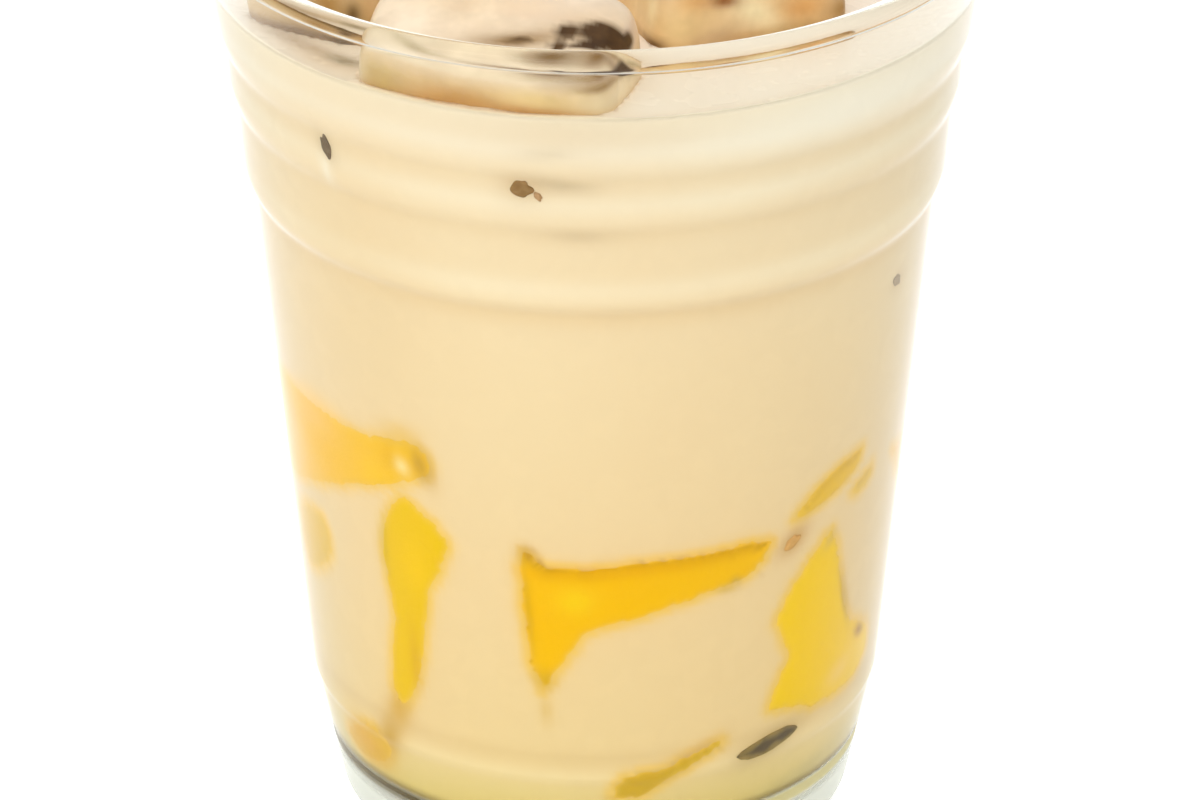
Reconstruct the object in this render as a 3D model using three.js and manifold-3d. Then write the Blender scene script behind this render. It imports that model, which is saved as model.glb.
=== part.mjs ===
// Iced pudding milk tea: a clear stepped cup of milk tea with ice standing out of it and
// broken custard pudding lying against the wall. Millimetres, +Z up, the cup's foot on z = 0.
import * as THREE from 'three';
import { mergeVertices } from 'three/addons/utils/BufferGeometryUtils.js';
import Module from 'manifold-3d';

const wasm = await Module();
wasm.setup();

// Driving dimensions of the cup
const cupHeight = 120;
const lipRadius = 49;
const lipBead = 2.8;
const wallThickness = 1.1;
const footRadius = 31.7;
const footRingWidth = 1.9;
const waistHeight = 15.6;
const waistRadius = 35.0;
const waistStep = 0.35;
const floorHeight = 7.7;
const floorThickness = 1.3;
const floorDome = 1.6;
const cupSides = 60;

// The three stepped rings: the height of each step, and the outside radius just below and above it
const stepRise = 1.5;
const steps = [
  { height: 83.0, below: 41.6, above: 42.5 },
  { height: 94.4, below: 43.5, above: 44.1 },
  { height: 101.8, below: 44.7, above: 45.3 },
];
const ringBulge = 0.18;
const throatRadius = 47.7;

// Driving dimensions of what is in the cup
const liquidHeight = 110;
const gap = 0.3;
const meniscusRise = 0.5;
const meniscusWidth = 2.2;

const colours = {
  cup: 0xeef0e6,
  milkTea: 0xf3dcae,
  ice: 0xe6c48e,
  pudding: 0xf6c01a,
  caramel: 0x6a4f1e,
};

const radians = THREE.MathUtils.degToRad;

// Outside radius of the cup's wall at a height: a cone up to each named ring, in steps
function outerRadius(height) {
  const stations = [
    [0, footRadius],
    [waistHeight, waistRadius],
    [waistHeight + 1, waistRadius + waistStep],
  ];
  for (const step of steps) {
    stations.push([step.height, step.below], [step.height + stepRise, step.above]);
  }
  stations.push([cupHeight - lipBead, throatRadius], [cupHeight, throatRadius]);
  const upper = stations.findIndex(([z]) => z > height);
  if (upper <= 0) return upper === 0 ? stations[0][1] : throatRadius;
  const [z0, r0] = stations[upper - 1];
  const [z1, r1] = stations[upper];
  return r0 + ((r1 - r0) * (height - z0)) / (z1 - z0);
}

const innerRadius = (height) => outerRadius(height) - wallThickness;

// Turns a profile of [radius, height] pairs about the upright axis
function turned(profile, sides) {
  const points = profile.map(([radius, height]) => new THREE.Vector2(radius, height));
  return new THREE.LatheGeometry(points, sides).rotateX(Math.PI / 2);
}

// A closed mesh becomes a solid: only positions are kept, and flat triangles are dropped
function toSolid(geometry) {
  const bare = geometry.clone();
  bare.deleteAttribute('normal');
  bare.deleteAttribute('uv');
  const merged = mergeVertices(bare, 1e-4);
  const triangles = [];
  for (let i = 0; i < merged.index.count; i += 3) {
    const [a, b, c] = [0, 1, 2].map((k) => merged.index.getX(i + k));
    if (a !== b && b !== c && c !== a) triangles.push(a, b, c);
  }
  return new wasm.Manifold(new wasm.Mesh({
    numProp: 3,
    vertProperties: new Float32Array(merged.attributes.position.array),
    triVerts: new Uint32Array(triangles),
  }));
}

function toGeometry(solid) {
  const { vertProperties, triVerts } = solid.getMesh();
  const geometry = new THREE.BufferGeometry();
  geometry.setAttribute('position', new THREE.BufferAttribute(new Float32Array(vertProperties), 3));
  geometry.setIndex(new THREE.BufferAttribute(new Uint32Array(triVerts), 1));
  geometry.computeVertexNormals();
  return geometry;
}

// Cup: one turned shell with a rolled lip, three stepped rings, a waist above the heel,
// and a floor that stands up inside a hollow foot
function cupProfile() {
  const rootTop = floorHeight - floorThickness;
  const profile = [
    [0, rootTop + floorDome],
    [footRadius * 0.5, rootTop + floorDome * 0.7],
    [footRadius - footRingWidth - 0.9, rootTop],
    [footRadius - footRingWidth - 0.3, rootTop - 1.2],
    [footRadius - footRingWidth, 0],
    [footRadius - 0.4, 0],
    [outerRadius(0.6), 0.6],
    [outerRadius(waistHeight), waistHeight],
    [outerRadius(waistHeight + 1), waistHeight + 1],
  ];
  for (const step of steps) {
    const crest = step.height + stepRise * 2;
    profile.push(
      [step.below, step.height],
      [step.above, step.height + stepRise],
      [outerRadius(crest) + ringBulge, crest],
    );
  }
  profile.push([throatRadius, cupHeight - lipBead]);
  const beadRadius = lipBead / 2;
  const beadCentre = lipRadius - beadRadius;
  for (let turn = -45; turn <= 180; turn += 45) {
    const angle = radians(turn);
    profile.push([
      beadCentre + beadRadius * Math.cos(angle),
      cupHeight - beadRadius + beadRadius * Math.sin(angle),
    ]);
  }
  profile.push([innerRadius(cupHeight - lipBead), cupHeight - lipBead]);
  for (const step of [...steps].reverse()) {
    profile.push(
      [step.above - wallThickness, step.height + stepRise],
      [step.below - wallThickness, step.height],
    );
  }
  profile.push(
    [innerRadius(waistHeight + 1), waistHeight + 1],
    [innerRadius(waistHeight), waistHeight],
    [innerRadius(floorHeight + 1.6), floorHeight + 1.6],
    [innerRadius(floorHeight) - 0.9, floorHeight],
    [footRadius * 0.5, floorHeight + floorDome * 0.7],
    [0, floorHeight + floorDome],
  );
  return profile;
}

// Milk tea: all the room inside the wall up to the liquid level, with its edge drawn up
// the wall a little, less the gap
function drinkEnvelope() {
  const profile = [
    [0, floorHeight + floorDome + gap],
    [footRadius * 0.5, floorHeight + floorDome * 0.7 + gap],
    [innerRadius(floorHeight) - 1.1 - gap, floorHeight + gap],
    [innerRadius(floorHeight + 1.8) - gap, floorHeight + 1.8],
    [innerRadius(waistHeight) - gap, waistHeight],
    [innerRadius(waistHeight + 1) - gap, waistHeight + 1],
  ];
  for (const step of steps) {
    profile.push(
      [step.below - wallThickness - gap, step.height],
      [step.above - wallThickness - gap, step.height + stepRise],
    );
  }
  const rim = innerRadius(liquidHeight) - gap;
  profile.push(
    [rim, liquidHeight + meniscusRise],
    [rim - meniscusWidth, liquidHeight],
    [0, liquidHeight],
  );
  return turned(profile, cupSides);
}

// Ice: a part-melted cube with blunt edges, uneven faces, and a hollow melted into its top.
// A positive growth moves the whole skin outwards, for the pocket the cube sits in.
const iceGrid = 5;
const iceSharpness = 8;
const iceUnevenness = 0.45;
const icePocketGrowth = 0.4;

function iceCube({ size, melt, seed, hollow = 0, hollowAt = [0, 0] }, growth) {
  const geometry = new THREE.BoxGeometry(2, 2, 2, iceGrid, iceGrid, iceGrid);
  geometry.deleteAttribute('normal');
  geometry.deleteAttribute('uv');
  const cube = mergeVertices(geometry, 1e-4);
  const place = cube.attributes.position;
  const half = new THREE.Vector3(...size).multiplyScalar(0.5);
  const point = new THREE.Vector3();
  for (let i = 0; i < place.count; i += 1) {
    point.fromBufferAttribute(place, i);
    for (const axis of ['x', 'y', 'z']) {
      point[axis] = Math.sign(point[axis]) * Math.abs(point[axis]) ** melt;
    }
    const reach = (Math.abs(point.x) ** iceSharpness + Math.abs(point.y) ** iceSharpness
      + Math.abs(point.z) ** iceSharpness) ** (1 / iceSharpness);
    point.divideScalar(reach);
    const wave = Math.sin(2.1 * point.x + seed) + Math.sin(2.7 * point.y + 1.7 * seed)
      + Math.sin(2.4 * point.z + 2.3 * seed);
    if (point.z > 0.5) {
      const away = Math.hypot(point.x - hollowAt[0], point.y - hollowAt[1]);
      point.z -= (hollow * Math.exp(-((away / 0.55) ** 2))) / half.z;
    }
    point.multiply(half);
    point.addScaledVector(point.clone().normalize(), wave * iceUnevenness);
    place.setXYZ(i, point.x, point.y, point.z);
  }
  cube.computeVertexNormals();
  const normal = cube.attributes.normal;
  for (let i = 0; i < place.count; i += 1) {
    place.setXYZ(
      i,
      place.getX(i) + normal.getX(i) * growth,
      place.getY(i) + normal.getY(i) * growth,
      place.getZ(i) + normal.getZ(i) * growth,
    );
  }
  return cube;
}

// The ice lies in a loose raft, with its front pieces against the wall. at is a cube's middle
// seen from above, top the height of its upper face, and turn its turn about the upright axis.
const ice = [
  {
    name: 'ice_front', at: [-11.6, -32.6], top: 118.2, size: [31, 19, 23], melt: 0.62,
    seed: 0.4, turn: -13.5, lean: [9, 0], hollow: 2.2, hollowAt: [0.15, -0.55],
  },
  {
    name: 'ice_left', at: [-28.9, -11.2], top: 117.2, size: [16.5, 19, 22], melt: 0.66,
    seed: 1.9, turn: -28, lean: [5, -6], hollow: 1.2,
  },
  {
    name: 'ice_right', at: [15.2, -12.8], top: 117.8, size: [25, 20, 23], melt: 0.6,
    seed: 3.1, turn: 19, lean: [3, 6], hollow: 1.4,
  },
  {
    name: 'ice_middle', at: [-8.7, -8.0], top: 118.6, size: [14.5, 20, 22], melt: 0.64,
    seed: 4.6, turn: -8, lean: [3, -4], hollow: 1.6,
  },
  {
    name: 'ice_back_left', at: [-24.0, 18.0], top: 116.8, size: [23.5, 22, 21],
    melt: 0.62, seed: 5.2, turn: -23, lean: [-6, -5], hollow: 1.3,
  },
  {
    name: 'ice_back', at: [6.5, 27.0], top: 118.2, size: [23.5, 21, 22], melt: 0.62,
    seed: 7.7, turn: -8, lean: [-8, 3], hollow: 1.5,
  },
  {
    name: 'ice_small', at: [30.4, 10.6], top: 114.6, size: [15.5, 14, 14], melt: 0.7,
    seed: 9.1, turn: 12, lean: [-5, 6],
  },
];

// Where a cube leans on the wall it has melted to the wall's curve, this far off it
const iceStandoff = 1.2;

function placedIce(piece, growth) {
  const [nod, roll] = piece.lean;
  const middle = piece.top - piece.size[2] / 2;
  const cube = iceCube(piece, growth)
    .rotateX(radians(nod))
    .rotateY(radians(roll))
    .rotateZ(radians(piece.turn))
    .translate(...piece.at, middle);
  const place = cube.attributes.position;
  for (let i = 0; i < place.count; i += 1) {
    const reach = Math.hypot(place.getX(i), place.getY(i));
    const room = innerRadius(place.getZ(i)) - iceStandoff + growth;
    const fit = Math.min(1, room / reach);
    place.setXY(i, place.getX(i) * fit, place.getY(i) * fit);
  }
  return cube;
}

// Pudding: a broken shard of custard whose broad face lies against the wall. Its outline is
// given by its corners there, as degrees round the cup from the front and a height; edges
// between corners are smooth, and the shard narrows to its inner end.
const mmPerDegree = 0.66;
const wallOvershoot = 12;
const pocketGrowth = 0.5;
const mitreLimit = 0.35;

function shardOutline(corners, samplesPerCorner, growth) {
  const bends = corners.map(([turn, height]) => new THREE.Vector3(turn * mmPerDegree, height, 0));
  const curve = new THREE.CatmullRomCurve3(bends, true, 'centripetal');
  const outline = [];
  const count = corners.length * samplesPerCorner;
  for (let i = 0; i < count; i += 1) {
    const { x, y } = curve.getPoint(i / count);
    outline.push(new THREE.Vector2(x, y));
  }
  if (THREE.ShapeUtils.isClockWise(outline)) outline.reverse();
  return outline.map((point, i) => {
    const into = point.clone().sub(outline[(i + count - 1) % count]).normalize();
    const on = outline[(i + 1) % count].clone().sub(point).normalize();
    const mitre = growth / Math.max(1 + into.dot(on), mitreLimit);
    return new THREE.Vector2(point.x + (into.y + on.y) * mitre, point.y - (into.x + on.x) * mitre);
  });
}

function shard({ corners, depth, narrowing }, growth) {
  const outline = shardOutline(corners, 2, growth);
  const count = outline.length;
  const middle = outline.reduce((sum, point) => sum.add(point), new THREE.Vector2())
    .divideScalar(count);
  const reach = depth + growth;
  const spread = 1 + (wallOvershoot * (1 - narrowing)) / reach;
  const rings = [
    { scale: spread, inset: -wallOvershoot },
    { scale: narrowing, inset: reach },
  ];
  const positions = [];
  for (const { scale, inset } of rings) {
    for (const point of outline) {
      const along = middle.x + (point.x - middle.x) * scale;
      const height = middle.y + (point.y - middle.y) * scale;
      const angle = radians(along / mmPerDegree);
      const radius = innerRadius(point.y) - gap - inset;
      positions.push(radius * Math.sin(angle), -radius * Math.cos(angle), height);
    }
  }
  const faces = THREE.ShapeUtils.triangulateShape(outline, []);
  const triangles = [];
  for (const [a, b, c] of faces) {
    triangles.push(a, b, c, count + a, count + c, count + b);
  }
  for (let i = 0; i < count; i += 1) {
    const j = (i + 1) % count;
    triangles.push(i, count + i, j, j, count + i, count + j);
  }
  const geometry = new THREE.BufferGeometry();
  geometry.setAttribute('position', new THREE.Float32BufferAttribute(positions, 3));
  geometry.setIndex(triangles);
  return geometry;
}

// The shards that lie at the front of the cup
const frontShards = [
  {
    name: 'pudding_left_top', depth: 9, narrowing: 0.75,
    corners: [[-86, 51], [-79, 59.5], [-64, 60.6], [-46, 60.4], [-36.4, 62], [-32.4, 60.7],
      [-32.4, 57.8], [-38, 55.3], [-50, 52], [-66, 47.4], [-80, 44.6]],
  },
  {
    name: 'pudding_left_strip', depth: 7, narrowing: 0.65,
    corners: [[-40.3, 51.6], [-37, 53.9], [-33.7, 52.7], [-28.3, 49], [-33, 40.8], [-35.8, 29.1],
      [-40.6, 22], [-43.8, 24.2], [-41.6, 34.7], [-43.2, 44.5]],
  },
  {
    name: 'pudding_left_foot', depth: 5, narrowing: 0.7,
    corners: [[-64, 12.2], [-57.5, 15.6], [-51, 17.2], [-47, 14.8], [-50.5, 11.4], [-59, 10.2]],
  },
  {
    name: 'pudding_front', depth: 10, narrowing: 0.72,
    corners: [[-11.8, 50.1], [-7.6, 47.7], [8, 48.3], [22.5, 48.6], [32.4, 48], [28.4, 43.5],
      [20, 42.3], [5, 39.2], [-1.8, 37.3], [-9.2, 28.7], [-12.2, 40]],
  },
  {
    name: 'pudding_right', depth: 9, narrowing: 0.6,
    corners: [[50.2, 46.2], [54.2, 38.6], [58.8, 30.4], [66.5, 27.2], [68, 22.6], [62, 19.8],
      [38, 22.6], [41.8, 29.6], [38.2, 35.4], [44, 42.4]],
  },
  {
    name: 'pudding_right_streak', depth: 5, narrowing: 0.8,
    corners: [[39, 49.3], [45, 53.3], [57, 55.6], [56, 52.9], [46, 50.1]],
  },
  {
    name: 'pudding_right_sliver', depth: 4, narrowing: 0.8,
    corners: [[54.5, 49.5], [61.5, 51.8], [62, 49.9], [57, 48.4]],
  },
  {
    name: 'pudding_foot_streak', depth: 4, narrowing: 0.8,
    corners: [[3.5, 13.6], [6, 17.1], [14, 17.9], [25.5, 20.9], [25.8, 19.6], [15, 15.9], [9.5, 13.2]],
  },
  {
    name: 'pudding_left_edge', depth: 5, narrowing: 0.7,
    corners: [[-76, 41.2], [-62, 44.4], [-60.5, 39], [-73, 33]],
  },
];

// The shards round the back, each a three-sided break turned and sized by rule
const backShardCount = 6;
const backShardStart = 92;
const backShardSpacing = 29.4;

function backShards() {
  const list = [];
  for (let i = 0; i < backShardCount; i += 1) {
    const middle = backShardStart + backShardSpacing * i;
    const height = 37 + 11 * Math.sin(2.3 * i + 0.6);
    const long = 11 + 3 * Math.sin(4.1 * i + 1);
    const tilt = 1.9 * i + 0.5;
    const corners = [];
    for (let k = 0; k < 6; k += 1) {
      const angle = tilt - (Math.PI * k) / 3;
      const reach = long * (k % 2 ? 0.44 + 0.12 * Math.sin(i + k) : 1 - 0.14 * Math.cos(2 * i + k));
      corners.push([
        middle + (reach * Math.cos(angle)) / mmPerDegree,
        height + reach * Math.sin(angle),
      ]);
    }
    list.push({ name: `pudding_back_${i + 1}`, depth: 9, narrowing: 0.6, corners });
  }
  return list;
}

const caramel = {
  name: 'caramel_flake', depth: 1.8, narrowing: 0.8,
  corners: [[30, 17.2], [34, 18.5], [42, 19.3], [45, 18.3], [40.5, 16.9], [33, 16.2]],
};

const shards = [...frontShards, ...backShards(), caramel];

const cup = new THREE.Group();

function addPiece(name, geometry, colour, roughness, opacity = 1) {
  const material = new THREE.MeshStandardMaterial({
    color: colour,
    roughness,
    metalness: 0,
    opacity,
    transparent: opacity < 1,
  });
  const mesh = new THREE.Mesh(geometry, material);
  mesh.name = name;
  cup.add(mesh);
}

addPiece('cup', turned(cupProfile(), cupSides), colours.cup, 0.08, 0.3);

const envelope = toSolid(drinkEnvelope());
let drink = envelope;
for (const piece of ice) {
  drink = drink.subtract(toSolid(placedIce(piece, icePocketGrowth)));
}
for (const piece of shards) {
  drink = drink.subtract(toSolid(shard(piece, pocketGrowth)));
}
addPiece('milk_tea', toGeometry(drink), colours.milkTea, 0.3);

for (const piece of ice) {
  addPiece(piece.name, placedIce(piece, 0), colours.ice, 0.12, 0.7);
}
for (const piece of shards) {
  const colour = piece === caramel ? colours.caramel : colours.pudding;
  const body = toSolid(shard(piece, 0)).intersect(envelope);
  addPiece(piece.name, toGeometry(body), colour, 0.35);
}

export default cup;
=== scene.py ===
# Iced pudding milk tea in a clear stepped cup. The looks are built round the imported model.
import math

import bpy
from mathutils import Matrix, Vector, kdtree, noise


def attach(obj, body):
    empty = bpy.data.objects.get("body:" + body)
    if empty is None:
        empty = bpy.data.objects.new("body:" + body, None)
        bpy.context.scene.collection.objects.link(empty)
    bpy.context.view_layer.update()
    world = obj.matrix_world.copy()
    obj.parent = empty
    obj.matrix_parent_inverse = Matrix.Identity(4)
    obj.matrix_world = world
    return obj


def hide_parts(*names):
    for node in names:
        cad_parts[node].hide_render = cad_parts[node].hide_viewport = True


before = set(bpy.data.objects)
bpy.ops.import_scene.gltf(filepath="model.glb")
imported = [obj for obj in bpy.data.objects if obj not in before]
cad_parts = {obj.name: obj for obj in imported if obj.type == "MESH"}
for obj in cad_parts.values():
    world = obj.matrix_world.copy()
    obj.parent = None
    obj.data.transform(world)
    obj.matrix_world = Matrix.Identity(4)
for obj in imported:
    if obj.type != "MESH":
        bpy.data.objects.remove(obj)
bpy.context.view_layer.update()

MM = 0.001

# Clear cup: one thin shell of clear hard plastic, formed over a mould. It has a rolled lip,
# three stepped rings that stiffen the mouth, a waist above the heel, and a floor that stands
# up inside a hollow foot. It is turned from one profile.
CUP_HEIGHT = 120
LIP_RADIUS = 49
BEAD = 2.8
THROAT_RADIUS = 47.7
WALL = 1.1
FOOT_RADIUS = 31.7
FOOT_RING = 1.9
WAIST_HEIGHT = 15.6
WAIST_TOP = WAIST_HEIGHT + 1
WAIST_RADIUS = 35.0
WAIST_STEP = 0.35
FLOOR_HEIGHT = 7.7
FLOOR_THICKNESS = 1.3
FLOOR_DOME = 1.6
FLOOR_EDGE = 0.9
HEEL_RISE = 1.6
STEP_RISE = 1.5
RING_BULGE = 0.18
STEPS = (
    # height of the ring's foot, radius below it, radius above it
    (83.0, 41.6, 42.5), (94.4, 43.5, 44.1), (101.8, 44.7, 45.3),
)
CORNER_REACH = 0.9
CORNER_BENDS = 3
CUP_SIDES = 224
PLASTIC_IOR = 1.36
WALL_SHINE = 0.12
LIP_SHINE = 0.35
LIP_FADE = (111.5, 116.5)


def outer_radius(height):
    """Outside radius of the wall at a height, all in millimetres."""
    stations = [(0, FOOT_RADIUS), (WAIST_HEIGHT, WAIST_RADIUS), (WAIST_TOP, WAIST_RADIUS + WAIST_STEP)]
    for foot, below, above in STEPS:
        stations += [(foot, below), (foot + STEP_RISE, above)]
    stations.append((CUP_HEIGHT - BEAD, THROAT_RADIUS))
    for (low, r_low), (high, r_high) in zip(stations, stations[1:]):
        if height <= high:
            return r_low + (r_high - r_low) * (height - low) / (high - low)
    return THROAT_RADIUS


def inner_radius(height):
    return outer_radius(height) - WALL


def softened(corners):
    """The corners' line with each corner rounded off."""
    line = [Vector(corners[0])]
    for before, corner, after in zip(corners, corners[1:], corners[2:]):
        back, on = Vector(before) - Vector(corner), Vector(after) - Vector(corner)
        reach = min(CORNER_REACH, back.length * 0.45, on.length * 0.45)
        start, end = Vector(corner) + back.normalized() * reach, Vector(corner) + on.normalized() * reach
        for bend in range(CORNER_BENDS + 1):
            t = bend / CORNER_BENDS
            line.append(start * (1 - t) ** 2 + Vector(corner) * 2 * t * (1 - t) + end * t ** 2)
    line.append(Vector(corners[-1]))
    return line


def turned(name, profile, sides):
    """A closed solid of revolution whose profile, in millimetres, starts and ends on the axis."""
    bpy.ops.object.select_all(action="DESELECT")
    bpy.ops.mesh.primitive_plane_add(size=MM)
    piece = bpy.context.object
    bpy.ops.object.mode_set(mode="EDIT")
    bpy.ops.mesh.merge(type="CENTER")
    bpy.ops.transform.translate(value=(0, 0, profile[0].y * MM))
    for start, end in zip(profile, profile[1:]):
        reach, rise = (end - start) * MM
        bpy.ops.mesh.extrude_region_move(TRANSFORM_OT_translate={"value": (reach, 0, rise)})
    bpy.ops.mesh.select_all(action="SELECT")
    bpy.ops.mesh.spin(steps=sides, angle=math.tau, center=(0, 0, 0), axis=(0, 0, 1))
    bpy.ops.mesh.select_all(action="SELECT")
    bpy.ops.mesh.remove_doubles(threshold=1e-6)
    bpy.ops.mesh.normals_make_consistent(inside=False)
    bpy.ops.object.mode_set(mode="OBJECT")
    bpy.ops.object.shade_smooth()
    bpy.ops.object.select_all(action="DESELECT")
    piece.name = piece.data.name = name
    return piece


class Value:
    """A number or colour on a surface. Arithmetic on numbers adds Math nodes."""

    def __init__(self, finish, socket):
        self.finish = finish
        self.socket = socket

    def math(self, operation, first, second):
        return self.finish.node("ShaderNodeMath", {"operation": operation}, {0: first, 1: second})

    def __add__(self, other):
        return self.math("ADD", self, other)

    __radd__ = __add__

    def __rsub__(self, other):
        return self.math("SUBTRACT", other, self)

    def __mul__(self, other):
        return self.math("MULTIPLY", self, other)

    __rmul__ = __mul__

    def out(self, name):
        return Value(self.finish, self.socket.node.outputs[name])


class Finish:
    """A material or the studio's world, built up one node at a time."""

    def __init__(self, owner):
        owner.use_nodes = True
        self.owner = owner
        self.tree = owner.node_tree
        self.tree.nodes.clear()

    def node(self, kind, settings=None, sockets=None, output=0):
        made = self.tree.nodes.new(kind)
        for name, value in (settings or {}).items():
            setattr(made, name, value)
        for name, value in (sockets or {}).items():
            if isinstance(value, Value):
                self.tree.links.new(value.socket, made.inputs[name])
            else:
                made.inputs[name].default_value = value
        return Value(self, made.outputs[output]) if len(made.outputs) else None

    def place(self):
        return self.node("ShaderNodeTexCoord").out("Object")

    def noise(self, scale, detail=2.0, stretch=(1, 1, 1)):
        stretched = self.node("ShaderNodeMapping", {}, {"Vector": self.place(), "Scale": stretch})
        sockets = {"Vector": stretched, "Scale": scale, "Detail": detail}
        return self.node("ShaderNodeTexNoise", {}, sockets)

    def height(self):
        """Height above the table, in millimetres."""
        return self.node("ShaderNodeSeparateXYZ", {}, {"Vector": self.place()}).out("Z") * 1000

    def between(self, value, low, high):
        """0 below low, 1 above high, and smooth in between."""
        settings = {"interpolation_type": "SMOOTHSTEP"}
        return self.node("ShaderNodeMapRange", settings, {"Value": value, "From Min": low, "From Max": high})

    def mix(self, factor, first, second):
        """A blend of two colours."""
        sockets = {0: factor, 6: first, 7: second}
        return self.node("ShaderNodeMix", {"data_type": "RGBA"}, sockets, output=2)

    def bump(self, height, distance, strength):
        sockets = {"Height": height, "Distance": distance, "Strength": strength}
        return self.node("ShaderNodeBump", {}, sockets).out("Normal")

    def surface(self, sockets):
        return self.node("ShaderNodeBsdfPrincipled", {}, sockets)

    def lets_light_through(self, shader, tint):
        """Lamp light passes straight through a clear piece on its way to what it holds."""
        clear = self.node("ShaderNodeBsdfTransparent", {}, {"Color": tint})
        lamp_ray = self.node("ShaderNodeLightPath").out("Is Shadow Ray")
        return self.node("ShaderNodeMixShader", {}, {0: lamp_ray, 1: shader, 2: clear})

    def put_on(self, shader, piece):
        self.node("ShaderNodeOutputMaterial", {}, {"Surface": shader})
        piece.data.materials.clear()
        piece.data.materials.append(self.owner)

    def wear(self, shader, piece, slot):
        """Puts the material on a piece. The slot is not used."""
        self.put_on(shader, piece)


def material(name):
    return Finish(bpy.data.materials.new(name))


def colour(red, green, blue):
    """A colour given as the eye reads it, from 0 to 255, for a shader."""
    def linear(channel):
        part = channel / 255
        return part / 12.92 if part <= 0.04045 else ((part + 0.055) / 1.055) ** 2.4
    return (linear(red), linear(green), linear(blue), 1.0)


def inner_corners(into):
    """The corners of the cup's inner face, from the middle of the floor up to the last ring.
    They may reach a little into the plastic."""
    corners = [(0, FLOOR_HEIGHT + FLOOR_DOME - into),
               (FOOT_RADIUS * 0.5, FLOOR_HEIGHT + FLOOR_DOME * 0.7 - into),
               (inner_radius(FLOOR_HEIGHT) - FLOOR_EDGE + into, FLOOR_HEIGHT - into),
               (inner_radius(FLOOR_HEIGHT + HEEL_RISE) + into, FLOOR_HEIGHT + HEEL_RISE),
               (inner_radius(WAIST_HEIGHT) + into, WAIST_HEIGHT),
               (inner_radius(WAIST_TOP) + into, WAIST_TOP)]
    for foot, below, above in STEPS:
        corners += [(below - WALL + into, foot), (above - WALL + into, foot + STEP_RISE)]
    return corners


def cup_profile():
    """From the middle of the foot's hollow, out and up the wall, round the lip and back down."""
    root = FLOOR_HEIGHT - FLOOR_THICKNESS
    foot_inside = FOOT_RADIUS - FOOT_RING
    corners = [(0, root + FLOOR_DOME), (FOOT_RADIUS * 0.5, root + FLOOR_DOME * 0.7),
               (foot_inside - FLOOR_EDGE, root), (foot_inside - 0.3, root - 1.2), (foot_inside, 0),
               (FOOT_RADIUS - 0.4, 0), (outer_radius(0.6), 0.6),
               (outer_radius(WAIST_HEIGHT), WAIST_HEIGHT), (outer_radius(WAIST_TOP), WAIST_TOP)]
    for foot, below, above in STEPS:
        crest = foot + STEP_RISE * 2
        corners += [(below, foot), (above, foot + STEP_RISE), (outer_radius(crest) + RING_BULGE, crest)]
    corners.append((THROAT_RADIUS, CUP_HEIGHT - BEAD))
    bead_centre = LIP_RADIUS - BEAD / 2
    for turn in range(-45, 181, 15):
        angle = math.radians(turn)
        corners.append((bead_centre + BEAD / 2 * math.cos(angle),
                        CUP_HEIGHT - BEAD / 2 + BEAD / 2 * math.sin(angle)))
    corners.append((inner_radius(CUP_HEIGHT - BEAD), CUP_HEIGHT - BEAD))
    corners += reversed(inner_corners(0))
    return softened(corners)


cup = turned("clear_cup", cup_profile(), CUP_SIDES)
plastic = material("clear plastic")
ripple = plastic.noise(60.0, stretch=(1, 1, 0.35))


def clear_skin(shine):
    """Clear plastic that mirrors its surroundings more or less strongly."""
    return plastic.surface({
        "Base Color": colour(250, 252, 247),
        "Roughness": 0.03,
        "IOR": PLASTIC_IOR,
        "Specular Tint": (shine, shine, shine, 1),
        "Transmission Weight": 1.0,
        "Normal": plastic.bump(ripple, 0.0002, 0.25),
    })


lip_share = plastic.between(plastic.height(), *LIP_FADE)
plastic_skin = plastic.node("ShaderNodeMixShader", {},
                            {0: lip_share, 1: clear_skin(WALL_SHINE), 2: clear_skin(LIP_SHINE)})
sideways = plastic.node("ShaderNodeSeparateXYZ", {}, {"Vector": plastic.place()}).out("X") * 1000
rightward = plastic.between(sideways, -14.0, 16.0)
# Painted shade: a dark olive band round the foot just under the drink's bottom edge, darkest at the left and
# paler at the right, laid over the frosted foot.
drink_bottom_shade = (plastic.between(plastic.height(), FLOOR_HEIGHT - 1.6, FLOOR_HEIGHT - 0.5)
              * (1.0 - plastic.between(plastic.height(), FLOOR_HEIGHT + 0.6, FLOOR_HEIGHT + 1.7)))
painted_edge_shade_colour = plastic.mix(rightward, colour(98, 82, 30), colour(196, 186, 128))
frosted_foot_and_shade = plastic.surface({
    "Base Color": plastic.mix(drink_bottom_shade, colour(236, 240, 228), painted_edge_shade_colour),
    "Roughness": 0.45,
    "IOR": PLASTIC_IOR,
})
foot_share = 0.5 - 0.5 * plastic.between(plastic.height(), FLOOR_HEIGHT - 3.0, FLOOR_HEIGHT - 1.0)
frost_and_shade_share = foot_share + drink_bottom_shade * (0.5 + 0.4 * rightward)
plastic_all = plastic.node("ShaderNodeMixShader", {}, {0: frost_and_shade_share, 1: plastic_skin, 2: frosted_foot_and_shade})
plastic.wear(plastic.lets_light_through(plastic_all, colour(246, 247, 243)), cup, "clear_plastic")
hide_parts("cup")
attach(cup, "root")

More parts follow.
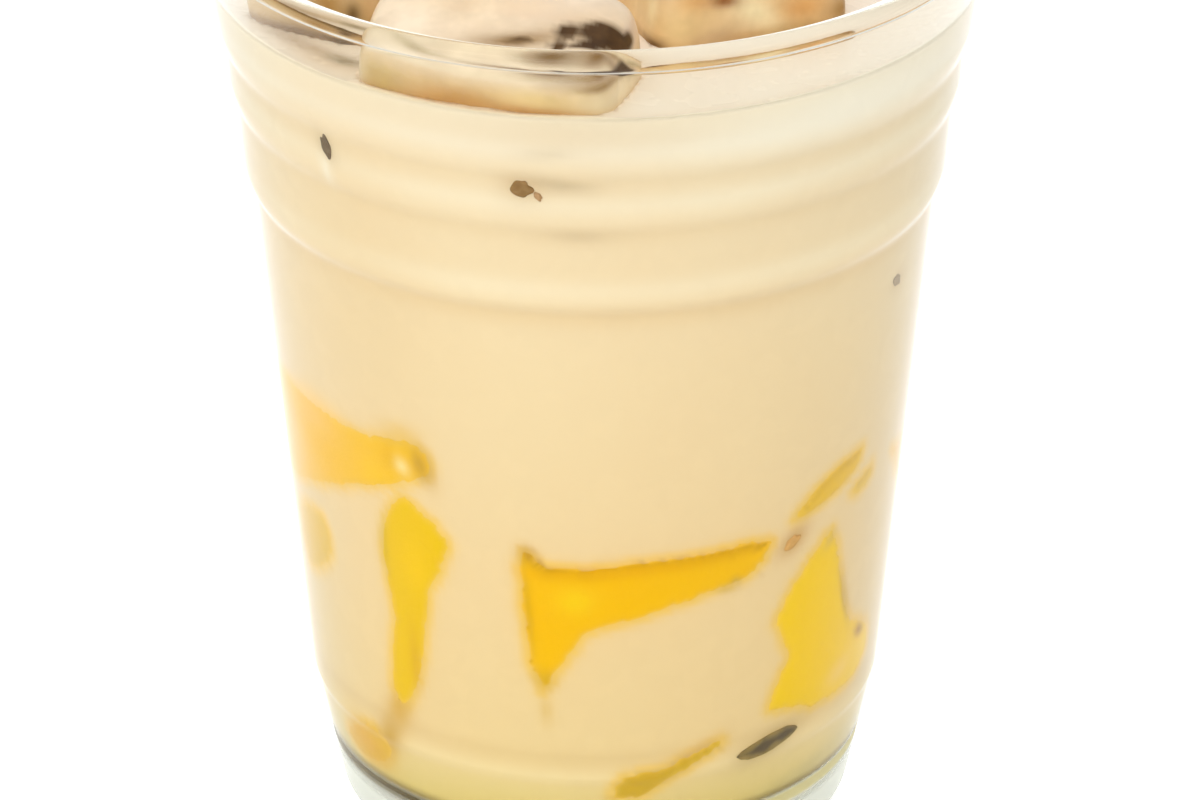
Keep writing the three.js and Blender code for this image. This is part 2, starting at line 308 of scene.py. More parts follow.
# Custard pudding: shards of soft set custard, broken with a spoon, that lie against the wall.
# Each keeps its solid's form. It is worked over as soft custard, and its broad face is pressed
# flat against the wall and thins out under the milk tea at its edge.
MM_PER_DEGREE = 0.66
CUSTARD_GRAIN = 0.45 * MM
CUSTARD_PRESS = 0.26
CUSTARD_RIM = 0.02
CUSTARD_EASE = 1.1 * MM
WALL_REACH = 0.9
MILK_FILM = (248, 208, 96)
TOP_EDGE_SHADE = (190, 134, 0)
FILM_WIDTH = 0.6
TOP_EDGE_SHADE_WIDTH = 1.3
CUSTARD_LOOKS = {
    # name: yolk yellow, milk veil, painted shade along the upper edge
    "pudding_left_top": ((250, 199, 24), 0.2, 0.0),
    "pudding_left_strip": ((243, 202, 0), 0.0, 0.0),
    "pudding_left_foot": ((234, 188, 30), 0.1, 0.2),
    "pudding_front": ((253, 199, 0), 0.0, 0.9),
    "pudding_right": ((255, 214, 0), 0.0, 0.1),
    "pudding_right_streak": ((240, 197, 54), 0.1, 0.5),
    "pudding_right_sliver": ((236, 198, 80), 0.2, 0.3),
    "pudding_foot_streak": ((214, 176, 48), 0.1, 0.3),
    "pudding_left_edge": ((230, 192, 66), 0.2, 0.0),
}
# The shards at the back take these looks in turn.
BACK_LOOKS = (((250, 199, 16), 0.05, 0.6), ((246, 195, 36), 0.1, 0.3), ((252, 205, 60), 0.2, 0.1))


def wall_height(point):
    """Height of a point of a mesh above the table, in millimetres."""
    return point.z / MM


def turn_of(point):
    """Degrees round the cup from the front, to the right."""
    return math.degrees(math.atan2(point.x, -point.y))


def depth_in_wall(point):
    """How far a point stands inside the wall's inner face, in millimetres."""
    return inner_radius(wall_height(point)) - math.hypot(point.x, point.y) / MM


def added(name, data):
    """A new object in the scene for a mesh, a lamp or a camera."""
    made = bpy.data.objects.new(name, data)
    bpy.context.collection.objects.link(made)
    return made


def edited(piece, tool, **settings):
    """Runs one editing tool over a piece's whole mesh."""
    bpy.ops.object.select_all(action="DESELECT")
    piece.select_set(True)
    bpy.context.view_layer.objects.active = piece
    bpy.ops.object.mode_set(mode="EDIT")
    bpy.ops.mesh.select_all(action="SELECT")
    tool(**settings)
    bpy.ops.object.mode_set(mode="OBJECT")


def copied(node, name):
    """A piece of its own with a copy of a solid's mesh, its loose triangles joined up."""
    piece = added(name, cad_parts[node].data.copy())
    edited(piece, bpy.ops.mesh.remove_doubles, threshold=1e-5)
    return piece


def worked(piece, kind, **settings):
    """Adds a modifier and applies it."""
    bpy.context.view_layer.objects.active = piece
    modifier = piece.modifiers.new(kind.lower(), kind)
    for name, value in settings.items():
        setattr(modifier, name, value)
    bpy.ops.object.modifier_apply(modifier=modifier.name)


def reworked(piece, grain, passes):
    """Makes a piece's mesh anew in small even faces and takes the sharpness off its edges."""
    worked(piece, "REMESH", mode="VOXEL", voxel_size=grain, use_smooth_shade=True)
    worked(piece, "SMOOTH", factor=0.5, iterations=passes)


def paint(piece, name, colours):
    """Stores one colour for each vertex."""
    layer = piece.data.color_attributes.new(name, "FLOAT_COLOR", "POINT")
    layer.data.foreach_set("color", [channel for tone in colours for channel in tone])


def blend(first, second, amount):
    """A colour between two others, or one of them."""
    amount = min(1, max(0, amount))
    return tuple(a + (b - a) * amount for a, b in zip(first, second))


def eased(value, low, high):
    """0 below low, 1 above high, and smooth in between."""
    part = min(1, max(0, (value - low) / (high - low)))
    return part * part * (3 - 2 * part)


def leaned(right, up, lean):
    """A step right and up, measured along and across a line that leans by so many degrees."""
    cos, sin = math.cos(math.radians(lean)), math.sin(math.radians(lean))
    return right * cos + up * sin, up * cos - right * sin


def dabbed(tone, across, up, dabs, spread=1.0):
    """A colour with soft dabs laid over it, each with its place, its reach along and across,
    its lean in degrees, its colour and its strength."""
    for at_across, at_up, length, width, lean, shade, strength in dabs:
        right, rise = (across - at_across) * spread, up - at_up
        if math.hypot(right, rise) < 2.5 * max(length, width):
            along, aside = leaned(right, rise, lean)
            distance = (along / length) ** 2 + (aside / width) ** 2
            tone = blend(tone, colour(*shade), strength * math.exp(-distance))
    return tone


def near(points):
    """A search tree that finds the nearest of many points."""
    tree = kdtree.KDTree(len(points))
    for index, point in enumerate(points):
        tree.insert(point, index)
    tree.balance()
    return tree


def edge_of(piece, faces):
    """Where a face that lies on the wall turns away from it."""
    inside = set(faces)
    rim = set()
    for edge in piece.data.edges:
        a, b = edge.vertices
        if (a in inside) != (b in inside):
            rim.add(a if a in inside else b)
    return near([piece.data.vertices[index].co.copy() for index in rim])


def press_to_wall(piece, press, rim_press, ease):
    """Moves what lies near the wall out into it, less at its edge. Gives the moved vertices,
    and for each the way to the nearest edge."""
    faces = [v.index for v in piece.data.vertices if depth_in_wall(v.co) < WALL_REACH]
    rim = edge_of(piece, faces)
    to_edge = [rim.find(piece.data.vertices[index].co)[0] - piece.data.vertices[index].co for index in faces]
    for index, way in zip(faces, to_edge):
        vertex = piece.data.vertices[index]
        reach = rim_press + (press - rim_press) * eased(way.length, 0, ease)
        radius = (inner_radius(wall_height(vertex.co)) + reach) * MM
        vertex.co.x, vertex.co.y = Vector((vertex.co.x, vertex.co.y)).normalized() * radius
    return faces, to_edge


CUSTARD_DABS = (
    # turn, height, length, width, lean, colour, strength
    (-56.0, 13.6, 5.0, 3.0, -25, (232, 178, 16), 0.85),
    # Painted highlight: the bright spot on the front shard.
    (-3.7, 42.6, 2.2, 1.8, 0, (255, 218, 20), 0.8),
    (-12.2, 48.9, 1.1, 1.5, 0, (196, 146, 44), 0.8),
    (-12.4, 41.0, 0.6, 6.5, 4, (218, 168, 10), 0.65),
    (-9.6, 31.0, 1.4, 1.6, 0, (216, 172, 40), 0.7),
    # Painted shade along the front shard's top edge.
    (6.0, 46.8, 14.0, 0.9, 3, (246, 184, 0), 0.7),
    (24.8, 42.3, 1.1, 0.8, 10, (214, 178, 80), 0.8),
    (27.0, 43.3, 0.8, 0.7, 0, (206, 170, 76), 0.7),
    (56.2, 34.4, 4.2, 0.7, -70, (208, 172, 58), 0.75),
    (64.2, 27.0, 0.9, 1.5, 60, (176, 124, 46), 0.85),
    (57.0, 23.2, 2.8, 1.7, 20, (255, 216, 106), 0.85),
    (49.6, 44.4, 1.6, 0.9, 50, (226, 190, 92), 0.7),
    (-43.6, 55.0, 2.6, 2.0, 0, (255, 208, 38), 0.75),
    (-36.7, 57.8, 1.1, 1.3, 40, (255, 230, 156), 0.95),
    (-32.6, 58.8, 1.2, 2.4, 12, (206, 160, 58), 0.85),
    (-38.2, 61.0, 2.4, 0.8, 8, (236, 192, 70), 0.7),
    (-60.0, 58.6, 4.6, 2.2, 0, (252, 204, 92), 0.85),
    (-73.0, 53.0, 4.5, 4.0, 0, (244, 204, 96), 0.8),
    (-39.8, 58.6, 1.0, 1.6, -10, (240, 188, 34), 0.7),
    (-37.2, 29.5, 0.8, 5.0, 0, (226, 176, 34), 0.6),
    (-42.6, 46.0, 0.8, 5.5, 0, (218, 184, 20), 0.6),
    (-35.6, 44.0, 2.2, 3.6, 0, (255, 212, 4), 0.6),
)

custard = material("custard")
custard_tone = custard.node("ShaderNodeVertexColor", {"layer_name": "tone"})
custard_mottle = custard.between(custard.noise(900.0, 3.0), 0.35, 0.75)
custard_skin = custard.surface({
    "Base Color": custard.mix(custard_mottle * 0.1, custard_tone, colour(255, 206, 30)),
    "Roughness": 0.3 + 0.15 * custard.noise(500.0),
    "IOR": 1.38,
    "Specular IOR Level": 0.1,
    "Normal": custard.bump(custard.noise(700.0, 4.0), 0.0003, 0.4),
})

custard_face = []
custard_face_tone = []
for node in sorted(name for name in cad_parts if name.startswith("pudding")):
    shard = copied(node, node.replace("pudding", "custard"))
    reworked(shard, CUSTARD_GRAIN, passes=3)
    faces, to_edge = press_to_wall(shard, CUSTARD_PRESS, CUSTARD_RIM, CUSTARD_EASE)
    yellow, veil, top_edge_shade = CUSTARD_LOOKS.get(node) or BACK_LOOKS[int(node[-1]) % len(BACK_LOOKS)]
    ways = dict(zip(faces, to_edge))
    tones = []
    for vertex in shard.data.vertices:
        way = ways.get(vertex.index, Vector((0, 0, 0)))
        distance = way.length / MM
        upward = eased(way.z / max(way.length, 1e-6), 0.5, 0.9)
        cloud = veil * (0.6 + 0.8 * noise.noise(vertex.co * 160))
        tone = blend(colour(*yellow), colour(*MILK_FILM), cloud)
        # Painted shade: a darker orange line along the edges whose rim lies above.
        edge_shade_amount = top_edge_shade * upward
        tone = blend(tone, colour(*TOP_EDGE_SHADE), edge_shade_amount * math.exp(-(distance / TOP_EDGE_SHADE_WIDTH) ** 2))
        tone = blend(tone, colour(*MILK_FILM), (1 - edge_shade_amount) * math.exp(-(distance / FILM_WIDTH) ** 2))
        turn, height = turn_of(vertex.co), wall_height(vertex.co)
        tones.append(dabbed(tone, turn, height, CUSTARD_DABS, MM_PER_DEGREE))
        if vertex.index in ways:
            custard_face.append(vertex.co.copy())
            custard_face_tone.append(tones[-1])
    paint(shard, "tone", tones)
    shard.data.shade_smooth()
    custard.wear(custard_skin, shard, "pudding")
    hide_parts(node)
    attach(shard, "root")

# Ice: cubes from a tray, part melted, so their edges are blunt and their tops have hollows.
# They are cloudy clear ice, amber on the sides and paler cream on top, with a band of painted
# shade at the waterline, and a dark brown coat of painted shade lies in the hollow of the front
# one, for the shadowed gap behind it. Each is its own solid worked smooth.
ICE_IOR = 1.31
LIQUID_HEIGHT = 110
ICE_CREAM = (247, 231, 206)
ICE_AMBER = (242, 206, 146)
ICE_BROWN = (205, 156, 104)
# Painted shade: dark brown pools on the back of the front cube's top, for the shadowed gap behind it.
GAP_SHADE_POOLS = (
    # across, ahead, length, width, lean in degrees, strength
    (2.4, 37.5, 4.4, 1.9, 6, 2.0),
    (4.4, 35.4, 1.8, 0.9, -62, 1.6),
    (-3.1, 37.0, 1.5, 1.3, 0, 1.4),
    (-4.2, 39.0, 1.0, 0.8, 0, 1.5),
    (-8.7, 37.3, 1.5, 0.5, 0, 1.0),
    (-0.8, 39.4, 2.6, 0.6, 5, 1.2),
)
ICE_TOP_DABS = {
    # across, ahead, length, width, lean, colour, strength
    "ice_front": (
        # The dark dabs at the back are painted shade for the gap behind the cube.
        (-9.2, 37.4, 5.4, 1.3, 3, (138, 104, 50), 1.0),
        (-20.5, 37.8, 4.2, 0.6, 0, (172, 152, 108), 0.6),
        (-5.0, 42.6, 3.8, 1.3, 20, (120, 88, 38), 1.0),
        (0.6, 43.0, 3.0, 1.5, 0, (132, 96, 46), 1.0),
        (0.6, 44.3, 2.8, 0.6, 0, (168, 136, 84), 0.85),
        (0.5, 37.5, 6.5, 3.2, 5, (190, 156, 100), 0.5),
        (-16.0, 30.0, 6.0, 3.0, 20, (244, 222, 180), 0.6),
    ),
}
ICE_SIDE_DABS = {
    # across, height, length, width, lean, colour, strength
    "ice_front": (
        (-16.0, 111.4, 6.5, 2.0, 0, (206, 154, 84), 0.9),
        (-6.0, 110.3, 5.5, 1.0, 0, (210, 156, 86), 0.85),
        (-6.0, 112.5, 4.5, 1.1, -4, (240, 208, 142), 0.85),
        (2.0, 111.8, 4.4, 2.0, 0, (255, 238, 202), 0.95),
        (-24.6, 112.0, 2.4, 2.8, 0, (202, 170, 98), 0.85),
        (-8.0, 116.4, 18.0, 2.3, -1, (252, 238, 228), 1.0),
        (-27.4, 112.0, 1.0, 3.0, 0, (244, 232, 206), 0.7),
        (-16.0, 109.6, 8.0, 0.6, 3, (200, 154, 112), 0.75),
        # The three dark dabs high on the face are painted shade, running on from the shade of the gap on its
        # top.
        (-5.0, 116.0, 3.8, 1.0, -6, (120, 88, 38), 1.0),
        (0.8, 115.8, 3.0, 1.2, 0, (132, 96, 46), 1.0),
        (0.8, 114.0, 3.0, 0.6, 0, (156, 122, 68), 0.9),
        (4.4, 113.0, 1.2, 0.6, -40, (160, 142, 92), 0.8),
    ),
    "ice_right": (
        (10.0, 112.8, 3.4, 3.2, 0, (242, 212, 152), 0.85),
        (12.0, 116.2, 2.6, 1.6, 0, (226, 172, 104), 0.85),
        (14.2, 111.2, 2.8, 1.4, 10, (218, 188, 146), 0.85),
        (24.5, 113.3, 3.6, 2.0, 0, (228, 170, 100), 0.95),
        (22.0, 110.8, 6.0, 0.9, 0, (194, 154, 94), 0.85),
        (29.2, 111.9, 1.8, 1.8, 0, (168, 128, 70), 0.95),
        (18.7, 113.7, 3.6, 1.5, -36, (255, 238, 190), 1.0),
        (15.2, 115.6, 1.9, 0.9, -10, (140, 80, 30), 1.0),
        # The next two pale dabs are a painted highlight along the right cube's left edge.
        (5.0, 114.0, 1.3, 3.4, 0, (248, 226, 178), 0.9),
        (6.6, 114.4, 2.3, 0.6, 82, (255, 238, 190), 1.0),
        # Painted shade in the gap beside the front cube, at the waterline.
        (6.8, 110.5, 1.6, 0.9, 0, (84, 56, 24), 0.95),
    ),
    "ice_left": (
        # The dark dabs are painted shade on the left cube's face, which lies in shadow against the wall.
        (-31.6, 113.9, 2.6, 2.2, 0, (178, 134, 66), 1.0),
        (-28.4, 113.0, 1.1, 1.8, 0, (102, 78, 44), 0.95),
        (-35.0, 112.4, 3.0, 1.6, 0, (206, 174, 122), 0.8),
        (-34.5, 110.8, 7.0, 0.9, 0, (134, 106, 72), 0.95),
        (-29.2, 110.8, 2.6, 1.4, 0, (100, 80, 48), 0.95),
    ),
}

ice_tint_and_light = material("amber ice with painted light")
ice_tone = ice_tint_and_light.node("ShaderNodeVertexColor", {"layer_name": "tint_and_light"})
frost = ice_tint_and_light.between(ice_tint_and_light.noise(140.0, 3.0), 0.4, 0.7)
ice_relief = ice_tint_and_light.bump(ice_tint_and_light.noise(220.0, 3.0), 0.0006, 0.35)
clear_ice = ice_tint_and_light.surface({
    "Base Color": ice_tone,
    "Roughness": 0.04 + 0.16 * frost,
    "IOR": ICE_IOR,
    "Transmission Weight": 1.0,
    "Normal": ice_relief,
})
cloudy_ice = ice_tint_and_light.surface({
    "Base Color": ice_tone,
    "Roughness": 0.3,
    "IOR": ICE_IOR,
    "Normal": ice_relief,
})
cloud = 0.62 + 0.2 * frost
ice_body = ice_tint_and_light.node("ShaderNodeMixShader", {}, {0: cloud, 1: clear_ice, 2: cloudy_ice})
# Painted shade: a dark brown coat laid where the gap behind the front cube lies in shadow.
gap_shade = ice_tint_and_light.node("ShaderNodeVertexColor", {"layer_name": "gap_shade"})
gap_shade_skin = ice_tint_and_light.surface({
    "Base Color": ice_tint_and_light.mix(ice_tint_and_light.noise(500.0), colour(46, 26, 6), colour(92, 62, 24)),
    "Roughness": 0.35,
    "IOR": 1.2,
})
ice_all = ice_tint_and_light.node("ShaderNodeMixShader", {}, {0: gap_shade, 1: ice_body, 2: gap_shade_skin})
ice_shader = ice_tint_and_light.lets_light_through(ice_all, colour(247, 228, 196))


def gap_shade_at(across, ahead):
    """How strongly the painted shade of the gap covers a place on the front cube."""
    total = 0
    for at_across, at_ahead, length, width, lean, strength in GAP_SHADE_POOLS:
        along, aside = leaned(across - at_across, ahead - at_ahead, lean)
        distance = (along / length) ** 2 + (aside / width) ** 2
        total = max(total, strength * math.exp(-distance ** 2))
    return total


def ice_looks(name, vertex):
    """The colour, with its painted light, at a point of a cube, and how strongly the painted gap shade
    covers it.
    """
    point, upright = vertex.co, vertex.normal.z
    across, ahead, height = point.x / MM, -point.y / MM, wall_height(point)
    amount = 0.5 + 0.6 * noise.noise(point * 110)
    side = blend(colour(*ICE_AMBER), colour(*ICE_CREAM), 0.35 * amount)
    # Painted shade: a darker brown band where the cube meets the tea.
    waterline = math.exp(-((height - LIQUID_HEIGHT - 0.5) / 0.9) ** 2)
    side = blend(side, colour(*ICE_BROWN), 0.6 * waterline)
    side = dabbed(side, across, height, ICE_SIDE_DABS.get(name, ()))
    top = blend(colour(*ICE_CREAM), colour(*ICE_AMBER), 0.3 * amount)
    top = dabbed(top, across, ahead, ICE_TOP_DABS.get(name, ()))
    flat = eased(upright, 0.4, 0.75)
    tone = blend(side, top, flat)
    if name != "ice_front":
        brink = math.exp(-((upright - 0.5) / 0.16) ** 2)
        return blend(tone, colour(*ICE_BROWN), 0.35 * brink * amount), 0
    rough = 1 + 0.5 * noise.noise(point * 420)
    return tone, min(1, max(0, gap_shade_at(across, ahead) * rough * eased(upright, 0.1, 0.3)))


ice_pieces = []
for node in sorted(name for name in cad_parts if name.startswith("ice")):
    cube = copied(node, node.replace("ice", "ice_cube"))
    edited(cube, bpy.ops.mesh.tris_convert_to_quads, face_threshold=math.pi, shape_threshold=math.pi)
    worked(cube, "SUBSURF", levels=3, render_levels=3)
    tints_and_light, gap_shade_amounts = zip(*[ice_looks(node, vertex) for vertex in cube.data.vertices])
    paint(cube, "tint_and_light", tints_and_light)
    paint(cube, "gap_shade", [(depth, depth, depth, 1) for depth in gap_shade_amounts])
    cube.data.shade_smooth()
    ice_tint_and_light.wear(ice_shader, cube, "ice")
    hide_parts(node)
    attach(cube, "root")
    ice_pieces.append(cube)

# Milk tea: strong black tea with creamer, quite opaque. It fills the cup to a little under
# the lip, climbs the wall and the ice in a thin edge, and takes a yellow cast where custard
# lies just under it. It is turned to fit the wall and then cut round the ice.
ICE_CUT = 0.12 * MM
TEA_PRESS = 0.1
TEA_GRAIN = 0.92
TEA_SIDES = 288
EDGE_RISE = 0.7
EDGE_WIDTH = 1.6
CLIMB_RISE = 0.8 * EDGE_RISE
CLIMB_WIDTH = 0.9
RIPPLE = 0.12
HALO_WIDTH = 0.85 * MM
HALO_STRENGTH = 0.9
TEA_SURFACE = (231, 218, 201)
TEA_SIDE_SHADE = (196, 182, 138)
TEA_BY_HEIGHT = [
    # height, colour
    # The darkest colours at the floor are painted shade under the drink's bottom edge; higher up the drink
    # pales towards the top.
    (7.3, colour(128, 102, 30)), (8.6, colour(200, 176, 92)), (10.2, colour(234, 212, 130)),
    (14.5, colour(240, 218, 152)), (17.5, colour(244, 219, 164)), (45, colour(245, 220, 172)),
    (75, colour(247, 225, 184)), (92, colour(247, 227, 191)), (103, colour(248, 230, 198)),
    (109, colour(248, 234, 208)),
]
# Painted highlights and painted shade in bands round the cup's rings and waist.
TEA_RING_LIGHT_AND_SHADE = (
    # height, half width, colour, strength
    (16.8, 0.9, (252, 232, 182), 0.6), (19.6, 1.0, (226, 196, 138), 0.35),
    (86.6, 1.5, (255, 242, 214), 0.5), (82.6, 1.6, (236, 204, 152), 0.35),
    (98.4, 1.4, (255, 245, 222), 0.5), (94.2, 1.4, (238, 212, 168), 0.3),
    (106.0, 1.5, (255, 248, 232), 0.5), (101.6, 1.3, (240, 216, 176), 0.3),
)
TEA_DABS = (
    # turn, height, length, width, lean, colour, strength
    (42.0, 107.0, 18.0, 3.6, 0, (255, 248, 232), 0.8),
    (-2.0, 108.5, 13.0, 2.8, 0, (236, 218, 190), 0.55),
    (-45.0, 80.0, 11.0, 26.0, 0, (236, 211, 166), 0.5),
    (-5.6, 101.2, 3.8, 1.1, -4, (200, 180, 148), 0.7),
    (-11.2, 100.6, 2.2, 1.9, 0, (214, 186, 146), 0.6),
    (-2.3, 94.1, 3.4, 1.1, 0, (212, 190, 156), 0.5),
    (-7.3, 105.6, 2.8, 0.9, 10, (224, 208, 182), 0.5),
    (-45.9, 100.0, 2.0, 1.3, 108, (196, 176, 138), 0.6),
    (-46.3, 97.0, 0.8, 1.8, 10, (255, 246, 226), 0.8),
    (63.7, 76.2, 1.6, 1.2, 0, (214, 186, 140), 0.5),
    (-55.0, 13.8, 5.0, 2.8, -25, (232, 190, 78), 0.8),
    (-42.8, 21.6, 3.0, 2.0, 62, (222, 176, 62), 0.95),
    (-46.4, 16.8, 3.6, 2.2, 58, (214, 172, 74), 1.0),
    # Painted shade along the drink's bottom edge at the left.
    (-42.0, 7.5, 14.0, 0.9, 0, (96, 80, 30), 0.95),
    (-36.7, 57.8, 1.0, 1.2, 40, (255, 230, 156), 0.9),
    (-31.6, 58.6, 1.2, 2.6, 12, (214, 172, 78), 0.85),
    (-37.0, 62.8, 3.0, 1.1, 8, (238, 200, 108), 0.65),
    (-60.5, 60.8, 5.5, 1.8, 0, (255, 216, 138), 0.7),
    (39.6, 46.6, 2.5, 1.6, 35, (204, 154, 74), 0.85),
    (14.6, 16.8, 3.4, 1.0, 24, (206, 168, 66), 0.6),
    (20.4, 19.0, 3.8, 1.1, 28, (214, 172, 106), 0.75),
    (38.0, 17.7, 4.6, 1.6, 14, (186, 158, 88), 0.9),
    (-9.5, 26.6, 0.9, 2.2, 0, (228, 188, 90), 0.5),
    # These two pale dabs make the painted shade along the bottom edge paler at the right.
    (50.0, 10.4, 9.0, 1.4, 6, (204, 190, 122), 0.5),
    (52.0, 7.7, 12.0, 0.9, 0, (206, 196, 134), 0.9),
)
# Painted shadow of the left cube on the drink's surface, by the wall.
TEA_TOP_SHADOW_DABS = (
    # across, ahead, length, width, lean, colour, strength
    (-33.6, 22.6, 8.0, 1.6, 46, (158, 130, 98), 0.85),
    (-31.4, 27.2, 6.5, 2.8, 46, (206, 180, 150), 0.7),
    (-29.0, 27.0, 2.8, 1.3, 40, (118, 104, 74), 0.9),
)


def spaced(line, spacing):
    """The line with points added so that none are further apart than the spacing."""
    points = [line[0]]
    for start, end in zip(line, line[1:]):
        count = max(1, math.ceil((end - start).length / spacing))
        points += [start.lerp(end, step / count) for step in range(1, count + 1)]
    return points


def tea_profile():
    """From the middle of the floor up the wall, and back in over the surface."""
    top = LIQUID_HEIGHT + EDGE_RISE
    edge = inner_radius(top) + TEA_PRESS
    side = spaced(softened(inner_corners(TEA_PRESS) + [(edge, top)]), TEA_GRAIN)
    count = math.ceil(edge / TEA_GRAIN)
    surface = []
    for step in range(1, count + 1):
        inwards = edge * step / count
        surface.append(Vector((edge - inwards, LIQUID_HEIGHT + EDGE_RISE * math.exp(-inwards / EDGE_WIDTH))))
    return side + surface


tea = turned("milk_tea_body", tea_profile(), TEA_SIDES)
ice_points = near([vertex.co.copy() for cube in ice_pieces for vertex in cube.data.vertices])
for vertex in tea.data.vertices:
    if wall_height(vertex.co) > LIQUID_HEIGHT - 0.01 and depth_in_wall(vertex.co) > 0.5:
        reach = ice_points.find(vertex.co)[2] / MM
        climb = CLIMB_RISE * math.exp(-reach / CLIMB_WIDTH)
        vertex.co.z += (climb + RIPPLE * noise.noise(vertex.co * 120)) * MM

bpy.ops.object.select_all(action="DESELECT")
for cube in ice_pieces:
    cutter = added("ice_cutter", cube.data.copy())
    worked(cutter, "DISPLACE", strength=-ICE_CUT, mid_level=0.0)
    cutter.select_set(True)
bpy.ops.object.join()
cutters = bpy.context.object
worked(tea, "BOOLEAN", operation="DIFFERENCE", solver="MANIFOLD", object=cutters)
bpy.data.objects.remove(cutters)


def ramp(value, stops):
    """The colour at a value, from a list of (value, colour) in order."""
    if value <= stops[0][0]:
        return stops[0][1]
    for (low, first), (high, second) in zip(stops, stops[1:]):
        if value <= high:
            return blend(first, second, (value - low) / (high - low))
    return stops[-1][1]


def tea_tone(point, halo):
    """The drink's colour at a place, from the custard near it, its height and its dabs."""
    turn, height = turn_of(point), wall_height(point)
    if height > LIQUID_HEIGHT - 0.3 and depth_in_wall(point) > 0.05:
        return dabbed(colour(*TEA_SURFACE), point.x / MM, -point.y / MM, TEA_TOP_SHADOW_DABS)
    tone = ramp(height, TEA_BY_HEIGHT)
    for band, half, shade, strength in TEA_RING_LIGHT_AND_SHADE:
        tone = blend(tone, colour(*shade), strength * math.exp(-((height - band) / half) ** 2))
    # Painted shade: the front half greyer olive towards its left and right sides.
    tone = blend(tone, colour(*TEA_SIDE_SHADE), 0.35 * eased(abs(turn), 45, 85) * eased(-point.y, -0.045, 0))
    index, reach = halo.find(point)[1:]
    tone = blend(tone, custard_face_tone[index], HALO_STRENGTH * math.exp(-(reach / HALO_WIDTH) ** 2))
    return dabbed(tone, turn, height, TEA_DABS, MM_PER_DEGREE)


halo = near(custard_face)
paint(tea, "tone", [tea_tone(vertex.co, halo) for vertex in tea.data.vertices])
tea.data.shade_smooth()

milk_tea = material("milk tea")
tea_colour = milk_tea.node("ShaderNodeVertexColor", {"layer_name": "tone"})
swirl = milk_tea.between(milk_tea.noise(28.0, 3.0, (1, 1, 0.6)), 0.35, 0.7)
tea_skin = milk_tea.surface({
    "Base Color": milk_tea.mix(swirl * 0.14, tea_colour, colour(243, 210, 162)),
    "Roughness": 0.22 + 0.1 * milk_tea.noise(200.0),
    "IOR": 1.34,
    "Specular IOR Level": 0.2,
})
milk_tea.wear(tea_skin, tea, "milk_tea")
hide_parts("milk_tea")
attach(tea, "root")

# Caramel: a flake of dark burnt-sugar caramel from under the pudding, low against the wall at
# the right. It keeps its solid's form and is pressed to the wall like the custard.
FLAKE_GRAIN = 0.2 * MM
FLAKE_RIM = 0.12
FLAKE_EASE = 0.5 * MM
FLAKE_EDGE = (164, 138, 66)
FLAKE_CORE = (72, 56, 16)

flake = copied("caramel_flake", "caramel_flake_dark")
reworked(flake, FLAKE_GRAIN, passes=2)
faces, to_edge = press_to_wall(flake, CUSTARD_PRESS, FLAKE_RIM, FLAKE_EASE)
from_edge = dict(zip(faces, (way.length / MM for way in to_edge)))
flake_tones = []
for vertex in flake.data.vertices:
    core = eased(from_edge.get(vertex.index, 0) + 0.5 * noise.noise(vertex.co * 600), 0.1, 1.1)
    flake_tones.append(blend(colour(*FLAKE_EDGE), colour(*FLAKE_CORE), core))
paint(flake, "tone", flake_tones)
flake.data.shade_smooth()
caramel = material("caramel")
caramel_tone = caramel.node("ShaderNodeVertexColor", {"layer_name": "tone"})
caramel_skin = caramel.surface({
    "Base Color": caramel.mix(0.25 * caramel.noise(900.0), caramel_tone, colour(118, 94, 40)),
    "Roughness": 0.25 + 0.2 * caramel.noise(600.0),
    "IOR": 1.45,
})
caramel.wear(caramel_skin, flake, "caramel")
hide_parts("caramel_flake")
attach(flake, "root")

# Flecks: crumbs of tea leaf and caramel that cling to the inside of the wall. One crumb is
# modelled from a ball, pulled uneven, and the rest are copies turned and sized in its place.
FLECK_PRESS = 0.17 * MM
FLECK_THICKNESS = 0.9
CRUMB_FLATNESS = 0.45
FLECK_PALER = 50
FLECKS = (
    # turn, height, length, width, lean in degrees, name, colour
    (-45.8, 100.2, 3.2, 1.5, 108, "left", (84, 64, 36)),
    (-11.0, 100.5, 2.6, 2.2, 20, "middle", (124, 88, 38)),
    (-8.6, 99.5, 1.3, 0.8, -50, "middle_crumb", (160, 120, 76)),
    (63.2, 76.4, 2.2, 1.4, -20, "right", (140, 116, 78)),
    (39.4, 46.5, 2.6, 1.4, 38, "low", (192, 142, 66)),
)
bpy.ops.mesh.primitive_ico_sphere_add(subdivisions=3, radius=0.5 * MM)
crumb = bpy.context.object
edited(crumb, bpy.ops.transform.resize, value=(1, CRUMB_FLATNESS, 1))
for vertex in crumb.data.vertices:
    vertex.co *= 1 + 0.6 * noise.noise(vertex.co * 2600)
for turn, height, length, width, lean, name, shade in FLECKS:
    fleck = added("fleck_" + name, crumb.data.copy())
    radius = inner_radius(height) * MM
    for vertex in fleck.data.vertices:
        right, up = leaned(vertex.co.x * length, vertex.co.z * width, -lean)
        depth = vertex.co.y * FLECK_THICKNESS
        angle = math.radians(turn) + right / radius
        out = inner_radius(height + up / MM) * MM + depth + FLECK_PRESS
        vertex.co = (out * math.sin(angle), -out * math.cos(angle), height * MM + up)
    fleck.data.shade_smooth()
    leaf = material("fleck " + name)
    pale = tuple(min(255, channel + FLECK_PALER) for channel in shade)
    leaf_skin = leaf.surface({
        "Base Color": leaf.mix(leaf.noise(1500.0), colour(*shade), colour(*pale)),
        "Roughness": 0.5 + 0.2 * leaf.noise(900.0),
        "IOR": 1.4,
    })
    leaf.wear(leaf_skin, fleck, "caramel")
    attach(fleck, "root")
bpy.data.objects.remove(crumb)

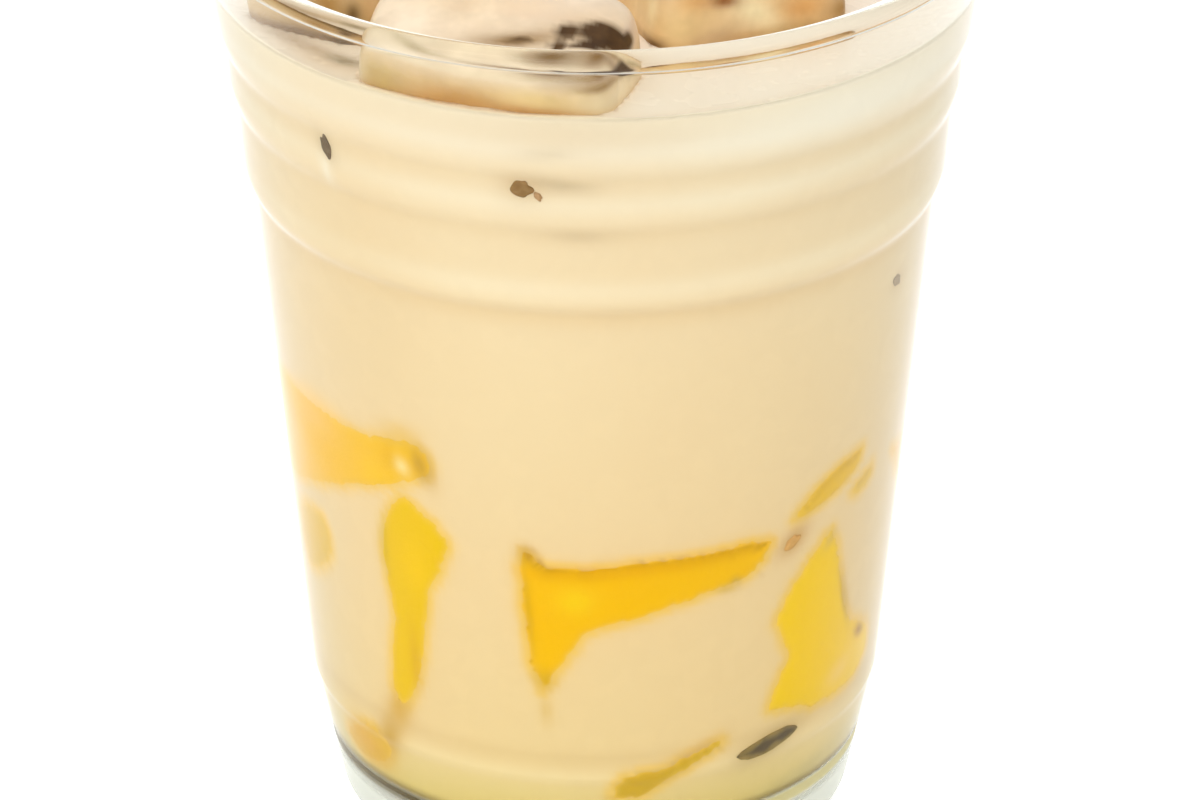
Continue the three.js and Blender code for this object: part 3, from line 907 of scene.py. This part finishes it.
# Studio: a plain pale floor under soft light from all round, with one broad lamp high at the
# left and a weaker one at the right, and the camera looking down on the cup.
FLOOR_GLOW = 0.32
SKY_LOW = 0.58
SKY_HIGH = 0.95
LAMP_AIM = (0, 0, 0.06)
CAMERA_PLACE = (0.0, -0.850, 0.48959)
CAMERA_DIP = 27.312
PICTURE_WIDTH = 1200
FOCAL_PIXELS = 7736.57
AXIS_PIXEL = 595

bpy.ops.mesh.primitive_plane_add(size=6, location=(0, 0, 0))
floor = bpy.context.object
floor.name = "floor"
paper = material("white paper")
paper_skin = paper.surface({
    "Base Color": (0.95, 0.95, 0.95, 1),
    "Roughness": 0.9,
    "Emission Color": (1, 1, 1, 1),
    "Emission Strength": FLOOR_GLOW,
})
paper.put_on(paper_skin, floor)

world = bpy.data.worlds.new("studio")
bpy.context.scene.world = world
sky = Finish(world)
toward = sky.node("ShaderNodeTexCoord").out("Generated")
upward = sky.node("ShaderNodeSeparateXYZ", {}, {"Vector": toward}).out("Z")
sky_strength = sky.node("ShaderNodeMapRange", {}, {
    "Value": upward,
    "From Min": 0.1,
    "From Max": 0.5,
    "To Min": SKY_LOW,
    "To Max": SKY_HIGH,
})
sky_light = sky.node("ShaderNodeBackground", {}, {"Color": (1, 1, 1, 1), "Strength": sky_strength})
sky.node("ShaderNodeOutputWorld", {}, {"Surface": sky_light})


def lamp(name, place, size, power):
    light = bpy.data.lights.new(name, "AREA")
    light.shape = "RECTANGLE"
    light.size, light.size_y = size
    light.energy = power
    holder = added(name, light)
    holder.location = place
    holder.rotation_euler = (Vector(LAMP_AIM) - Vector(place)).to_track_quat("-Z", "Y").to_euler()


lamp("key", (-0.55, -1.05, 0.8), (0.9, 0.7), 3.9)
lamp("fill", (0.9, -0.6, 0.6), (0.7, 0.7), 0.4)
lamp("top", (0.0, 0.3, 1.2), (1.2, 1.2), 3.7)

camera_data = bpy.data.cameras.new("camera")
camera_data.sensor_width = 36
camera_data.lens = camera_data.sensor_width * FOCAL_PIXELS / PICTURE_WIDTH
camera_data.shift_x = (PICTURE_WIDTH / 2 - AXIS_PIXEL) / PICTURE_WIDTH
camera = added("camera", camera_data)
camera.location = CAMERA_PLACE
camera.rotation_euler = (math.radians(90 - CAMERA_DIP), 0, 0)
bpy.context.scene.camera = camera
bpy.context.scene.view_settings.view_transform = "Standard"
